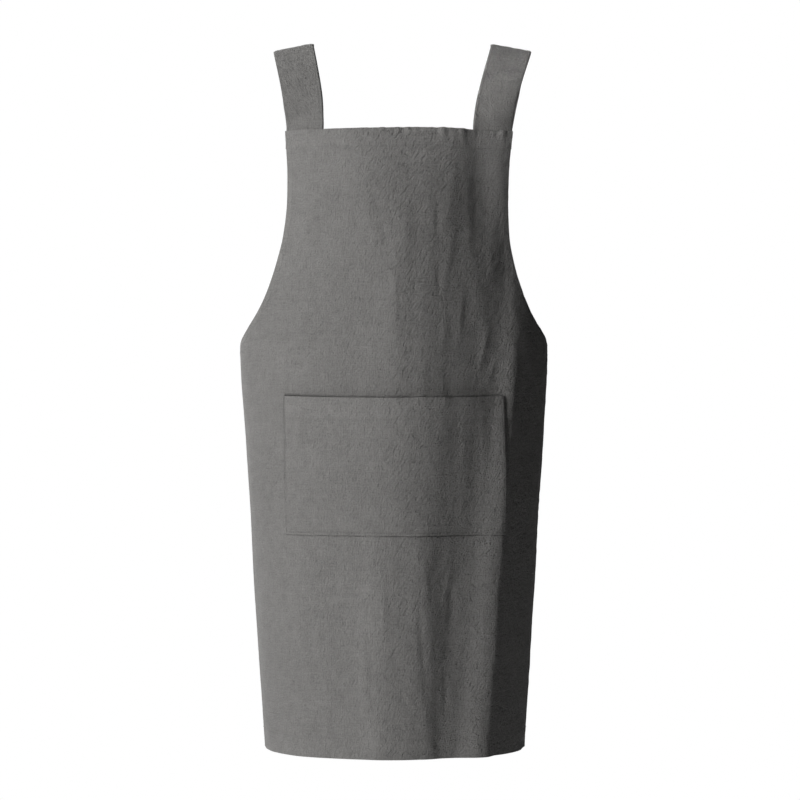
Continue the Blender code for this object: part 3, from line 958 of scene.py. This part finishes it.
def thread_material(name):
    """Twisted sewing thread."""
    weave = Weave(bpy.data.materials.new(name))
    place = weave.node("ShaderNodeTexCoord", {}, output="Object")
    twist = weave.node("ShaderNodeTexNoise", {"Vector": place, "Scale": TWIST_SCALE, "Detail": 2.0})
    inputs = {
        "Base Color": weave.colour(twist, THREAD_DARK, THREAD_LIGHT),
        "Roughness": 0.75,
        "Normal": weave.bump(twist, TWIST_DEPTH),
    }
    return weave.paint(inputs)


def bib_start():
    """The place and height at which the wings' columns begin."""
    start_z = -(BIB_DROP + (BACK_DROP - BIB_DROP) * WING_START)
    return float(bib_half_width(start_z)), start_z


def panel_grids():
    """The bib, the skirt with its wings, and all the hems."""
    start_out, start_z = bib_start()
    shares = np.linspace(-1.0, 1.0, FRONT_COLUMNS + 1)
    bib_z = np.linspace(-BIB_EDGE_DROP, start_z, BIB_ROWS + 1)[:, None]
    bib_out = bib_half_width(bib_z) * shares
    bib_z = np.repeat(bib_z, len(shares), axis=1)
    wing_out = np.linspace(start_out, SKIRT_CLOTH_WIDTH / 2, WING_COLUMNS + 1)[1:]
    outs = np.concatenate([-wing_out[::-1], shares * start_out, wing_out])
    tops = np.concatenate([wing_top(wing_out)[::-1], np.full(len(shares), start_z), wing_top(wing_out)])
    down = np.linspace(0.0, 1.0, SKIRT_ROWS + 1)[:, None]
    skirt_z = tops - (HEM_EDGE_DROP + tops) * down
    skirt_out = np.repeat(outs[None, :], len(down), axis=0)
    made = []
    for out, z in ((bib_out, bib_z), (skirt_out, skirt_z)):
        made.append(Grid(cloth_points(out, z), np.stack([out, z], axis=2), panel_seams(out, z)))
    half = SKIRT_CLOTH_WIDTH / 2
    top_half = ARMHOLE_OUT[0]
    edges = (
        (line((top_half, -BIB_EDGE_DROP), (-top_half, -BIB_EDGE_DROP)), TOP_HEM, LEVEL_HEM_LIFT),
        ((ARMHOLE_OUT[::-3], ARMHOLE_Z[::-3]), SIDE_HEM, SIDE_HEM_LIFT),
        ((-ARMHOLE_OUT[::3], ARMHOLE_Z[::3]), SIDE_HEM, SIDE_HEM_LIFT),
        (line((half, -HEM_EDGE_DROP), (half, -BACK_DROP)), SIDE_HEM, SIDE_HEM_LIFT),
        (line((-half, -BACK_DROP), (-half, -HEM_EDGE_DROP)), SIDE_HEM, SIDE_HEM_LIFT),
        (line((-half, -HEM_EDGE_DROP), (half, -HEM_EDGE_DROP)), SKIRT_HEM, LEVEL_HEM_LIFT),
    )
    return made + hems(edges, cloth_points)


def main_panel(material, thread):
    """The body panel and its stitches."""
    panel = mesh_piece("panel_cloth", panel_grids(), material)
    half = SKIRT_CLOTH_WIDTH / 2 - SIDE_HEM
    top_half = BIB_CLOTH_WIDTH / 2 - SIDE_HEM
    low = -HEM_EDGE_DROP + SKIRT_HEM
    high = -BIB_EDGE_DROP - TOP_HEM
    left_out, left_z = left_of(ARMHOLE_OUT, ARMHOLE_Z)
    inner_out = (ARMHOLE_OUT - left_out * SIDE_HEM)[6:-6:3]
    inner_z = (ARMHOLE_Z - left_z * SIDE_HEM)[6:-6:3]
    rows = []
    for side in (-1, 1):
        rows.append(seam_line(side * inner_out, inner_z, cloth_points))
        upright = ((side * half, -BACK_DROP - SIDE_HEM), (side * half, -HEM_EDGE_DROP))
        rows += straight_seams([upright], cloth_points)
    ends = [((-half, low), (half, low)), ((-top_half, high), (top_half, high))]
    upper = -BIB_EDGE_DROP - STRAP_SEAM
    lower = -BIB_DROP - STRAP_LAP + STRAP_SEAM
    for side in (-1, 1):
        outer = side * (BIB_CLOTH_WIDTH / 2 - STRAP_SEAM)
        inner = side * (BIB_CLOTH_WIDTH / 2 - STRAP_WIDTH + STRAP_SEAM)
        corners = [(outer, upper), (inner, upper), (inner, lower), (outer, lower), (outer, upper)]
        ends += zip(corners, corners[1:])
    rows += straight_seams(ends, cloth_points)
    return panel, stitch_piece("panel_stitches", rows, thread)


def pocket_pieces(material, thread):
    """The pocket and its stitches."""
    half = POCKET_WIDTH / 2
    top = -POCKET_DROP
    foot = top - POCKET_DEPTH
    outs, heights = np.meshgrid(
        np.linspace(-half, half, POCKET_COLUMNS + 1), np.linspace(top, foot, POCKET_ROWS + 1)
    )
    level = top - heights - MOUTH_HEM
    beside = np.minimum(half - np.abs(outs), heights - foot) - POCKET_SEAM
    cloth = np.stack([outs, heights], axis=2)
    made = [Grid(pocket_point(outs, heights), cloth, np.stack([level, beside], axis=2))]
    edges = (
        (line((half, top), (-half, top)), MOUTH_HEM, LEVEL_HEM_LIFT),
        (line((half, foot), (half, top)), POCKET_TURN_IN, SIDE_HEM_LIFT),
        (line((-half, top), (-half, foot)), POCKET_TURN_IN, SIDE_HEM_LIFT),
        (line((-half, foot), (half, foot)), POCKET_TURN_IN, SIDE_HEM_LIFT),
    )
    piece = mesh_piece("pocket_cloth", made + hems(edges, pocket_point), material)
    side = half - POCKET_SEAM
    low = foot + POCKET_SEAM
    high = top - POCKET_SEAM
    corners = [(-side, high), (-side, low), (side, low), (side, high)]
    ends = [((-side, top - MOUTH_HEM), (side, top - MOUTH_HEM)), *zip(corners, corners[1:])]
    return piece, stitch_piece("pocket_stitches", straight_seams(ends, pocket_point), thread)


def strap_places(side=0):
    """Places across a strap. A side, if given, is the one on which its inner edge is flared."""
    across = np.linspace(-0.5, 0.5, STRAP_COLUMNS + 1)
    return across * STRAP_WIDTH + side * STRAP_FLARE * (0.5 + side * across)


def ribbon(course_out, course_z, lift, across):
    """Rows of a strap's outer face along a course on the form, square to it on the flat cloth."""
    left_out, left_z = left_of(course_out, course_z)
    outs = course_out[:, None] + left_out[:, None] * across
    heights = course_z[:, None] + left_z[:, None] * across
    lifts = np.repeat(lift[:, None], STRAP_COLUMNS + 1, axis=1)
    out = outs.ravel()
    z = heights.ravel()
    points = folded_point(out, z) + normal_of(folded_point, out, z) * lifts.ravel()[:, None]
    return points.reshape(outs.shape + (3,))


def back_place(z, x):
    """The distance along the cloth, from the middle of the back, of a point at a distance x."""
    _, across, lengths = section_lengths(np.array([z]))
    half = SECTION_SAMPLES // 2
    return float(lengths[0, -1] - np.interp(x, across[0, half:][::-1], lengths[0, half:][::-1]))


def back_course(side, over):
    """The places, heights and lifts of a strap's middle line down the back and into the wing."""
    corner_out = SKIRT_CLOTH_WIDTH / 2 - STRAP_WIDTH * CORNER_INSET
    corner_z = float(wing_top(corner_out))
    first = back_place(-BIB_DROP, STRAP_SPAN / 2 * BACK_LEAN)
    last = float(half_round(np.array([corner_z]))[0]) - corner_out
    down = np.linspace(-1.0, 1.0, STRAP_BACK_ROWS + 1)
    across = read_table(BACK_COURSE, "down", "across", down)
    from_middle = across * np.where(across > 0, first, last)
    upper = -CROSSING_DROP - (CROSSING_DROP - BIB_DROP) * down
    lower = -CROSSING_DROP + (CROSSING_DROP + corner_z) * down
    z = np.where(down < 0, upper, lower)
    slope = (from_middle[-1] - from_middle[-2]) / (z[-1] - z[-2])
    lap = np.arange(1, STRAP_LAP_ROWS + 1) / STRAP_LAP_ROWS * STRAP_LAP / math.hypot(slope, 1)
    from_middle = np.concatenate([from_middle, from_middle[-1] - slope * lap])
    z = np.concatenate([z, z[-1] - lap])
    lift = np.full(len(z), -CLOTH - CLEARANCE)
    if over:
        away = np.hypot(from_middle, z + CROSSING_DROP) / STRAP_WIDTH
        rise = ease((LIFT_REACH - away) / (LIFT_REACH - FULL_LIFT_REACH))
        lift += (STRAP_CLOTH + CLEARANCE) * rise
    return side * (half_round(z) - from_middle), z, lift


def arch(start, leaving, end, arriving, rows):
    """Rows between two rows of points, on curves with the given directions at their ends."""
    reach = np.linalg.norm(end - start, axis=1).mean() * ARCH_FULLNESS
    made = []
    for share in np.linspace(0.0, 1.0, rows + 1)[1:-1]:
        made.append(
            start * (1 - share) ** 2 * (1 + 2 * share)
            + end * share**2 * (3 - 2 * share)
            + leaving * reach * share * (1 - share) ** 2
            - arriving * reach * share**2 * (1 - share)
        )
    return made


def strap_rows(side, over):
    """A strap's outer face from behind the bib's corner over the shoulder to the opposite wing."""
    lap_z = -BIB_DROP - np.linspace(STRAP_LAP, 0.0, STRAP_LAP_ROWS + 1)
    lap_out = side * (bib_half_width(lap_z) - STRAP_WIDTH / 2 + FOOT_OUT)
    front = ribbon(lap_out, lap_z, np.full(len(lap_z), -CLOTH - CLEARANCE), strap_places(side))
    across = strap_places()
    back = ribbon(*back_course(side, over), across)
    top_x = side * STRAP_SPAN / 2 - across * math.cos(SHOULDER_SLOPE)
    top_z = side * across * math.sin(SHOULDER_SLOPE)
    top = np.stack([top_x, np.zeros(STRAP_COLUMNS + 1), top_z], axis=1)
    backward = np.tile((0.0, 1.0, 0.0), (STRAP_COLUMNS + 1, 1))
    half_rows = STRAP_ARCH_ROWS // 2
    foot_width = abs(front[-1, -1, 0] - front[-1, 0, 0])
    top_width = abs(top[-1, 0] - top[0, 0])
    rising = arch(front[-1], unit(front[-1] - front[-2]), top, backward, half_rows)
    for step, row in enumerate(rising, start=1):
        share = max(0.0, (step / half_rows - TWIST_START) / (1 - TWIST_START))
        turned = math.sin(math.pi * math.sqrt(share))
        row[:, 1] += side * across * math.tan(STRAP_TWIST) * turned
        middle = (row[0, 0] + row[-1, 0]) / 2
        width = foot_width + (top_width - foot_width) * ease(step / half_rows / FLARE_END)
        row[:, 0] = middle + (row[:, 0] - middle) * width / abs(row[-1, 0] - row[0, 0])
        row[:, 0] += STRAP_SWINGS[side] * math.sin(math.pi * step / half_rows)
    behind = arch(top, backward, back[0], unit(back[1] - back[0]), half_rows) + list(back)
    for row in behind:
        drop = -row[:, 2]
        kept_in = ease((drop - TUCK_START) / (TUCK_FULL - TUCK_START))
        kept_in *= ease((TUCK_END - drop) / (TUCK_END - TUCK_FADE))
        row[:, 0] -= side * STRAP_TUCK * kept_in
    return np.array(list(front) + rising + [top] + behind)


def strap_pieces(name, side, over, material, thread):
    """A strap of doubled cloth with rounded edges, and its stitches."""
    outer = strap_rows(side, over)
    normals = unit(np.cross(np.gradient(outer, axis=0), np.gradient(outer, axis=1)))
    run = running(outer[:, STRAP_COLUMNS // 2])
    across = np.linspace(-0.5, 0.5, STRAP_COLUMNS + 1) * STRAP_WIDTH
    free = ease(run / PUCKER_FADE) * ease((run[-1] - run) / PUCKER_FADE)
    wide = np.broadcast_to(across, (len(run), len(across)))
    long = np.broadcast_to(run[:, None], wide.shape)
    pucker = np.zeros(wide.size)
    for place, size in enumerate(STRAP_PUCKERS):
        seed = PUCKER_SEED + side + PUCKER_SEED_STEP * place
        pucker += size.height * noise(wide.ravel() / size.across, long.ravel() / size.along, seed)
    pucker = pucker.reshape(wide.shape) * free[:, None]
    at_edge = np.abs(across) / STRAP_WIDTH * 2
    thinned = STRAP_CLOTH / 2 * (1 - np.sqrt(np.clip(1 - at_edge**EDGE_ROUNDNESS, 0.0, 1.0)))
    face = outer + normals * (pucker - thinned)[:, :, None]
    behind = outer + normals * (pucker - STRAP_CLOTH + thinned)[:, :, None]
    loop = np.concatenate([face, behind[:, -2:0:-1]], axis=1)
    cloth = np.stack([wide, long], axis=2)
    cloth = np.concatenate([cloth, cloth[:, -2:0:-1]], axis=1)
    beside = (STRAP_WIDTH / 2 - np.abs(cloth[:, :, 0])) - STRAP_SEAM
    seam = np.stack([np.full(beside.shape, NO_SEAM), beside], axis=2)
    cloth = cloth + np.array([STRAP_MAP_SHIFT * side, 0.0])
    piece = mesh_piece(name + "_cloth", [Grid(loop, cloth, seam)], material, closed=True)
    rows = []
    inset = int(round(STRAP_SEAM / STRAP_WIDTH * STRAP_COLUMNS))
    for column in (inset, STRAP_COLUMNS - inset):
        rows.append((face[2:-2, column], normals[2:-2, column]))
    return piece, stitch_piece(name + "_stitches", rows, thread)


def add_lamp(lamp):
    """A soft rectangular light that the camera doesn't see."""
    data = bpy.data.lights.new(lamp.name, "AREA")
    data.shape = "RECTANGLE"
    data.size = lamp.width
    data.size_y = lamp.height
    data.energy = lamp.power
    data.spread = lamp.spread
    light = add_object(lamp.name, data)
    light.location = lamp.place
    aim = Vector(lamp.target) - Vector(lamp.place)
    light.rotation_euler = aim.to_track_quat("-Z", "Y").to_euler()
    light.visible_camera = False


def camera():
    """The camera at the photo's angle, level with the pocket's mouth."""
    data = bpy.data.cameras.new("camera")
    data.sensor_width = SENSOR_WIDTH
    data.lens = CAMERA_LENS
    seen = add_object("camera", data)
    seen.location = CAMERA_PLACE
    seen.rotation_euler = (math.pi / 2, 0.0, 0.0)
    bpy.context.scene.camera = seen


def floor_paint():
    """Matt white paint, with a glow that only the camera sees."""
    weave = Weave(bpy.data.materials.new("floor_paint"))
    inputs = {
        "Base Color": (0.9, 0.9, 0.9, 1.0),
        "Roughness": 0.8,
        "Emission Color": WHITE,
        "Emission Strength": weave.product(weave.seen(), FLOOR_GLOW),
    }
    return weave.paint(inputs)


def surroundings():
    """A world that looks white and gives a little even light."""
    world = bpy.data.worlds.new("surroundings")
    weave = Weave(world)
    white = weave.nodes["Background"]
    weave.fill(white, {"Color": WHITE, "Strength": 1.0})
    dim = weave.node("ShaderNodeBackground", {"Color": WORLD_COLOUR, "Strength": WORLD_LIGHT})
    mix = weave.node("ShaderNodeMixShader", {0: weave.seen(), 1: dim, 2: white.outputs[0]})
    weave.fill(weave.nodes["World Output"], {"Surface": mix})
    bpy.context.scene.world = world


def studio():
    """A pale floor well below the hem, near-white surroundings and soft lights."""
    mesh = bpy.data.meshes.new("floor")
    corners = [(-1, -1), (1, -1), (1, 1), (-1, 1)]
    mesh.from_pydata([(x * FLOOR_HALF, y * FLOOR_HALF, FLOOR_Z) for x, y in corners], [], [(0, 1, 2, 3)])
    mesh.materials.append(floor_paint())
    add_object("floor", mesh)
    for lamp in LAMPS:
        add_lamp(lamp)
    surroundings()
    bpy.context.scene.view_settings.view_transform = "Standard"


def stand_for(node, cloth, stitches):
    """Hides the solid a cloth stands for, and makes it and its stitches ride on the root."""
    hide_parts(node)
    for piece in (cloth, stitches):
        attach(piece, "root")


def dress():
    """Makes every piece and hides the solid it stands for."""
    thread = thread_material("sewing_thread")
    panel, panel_stitches = main_panel(linen("panel_linen"), thread)
    pocket, pocket_stitches = pocket_pieces(linen("pocket_linen"), thread)
    stand_for("body_panel", panel, panel_stitches)
    stand_for("pocket", pocket, pocket_stitches)
    doubled = linen("strap_linen")
    for name, side, over in (("strap_right", 1, True), ("strap_left", -1, False)):
        cloth, stitches = strap_pieces(name, side, over, doubled, thread)
        stand_for(name, cloth, stitches)


camera()
studio()
dress()
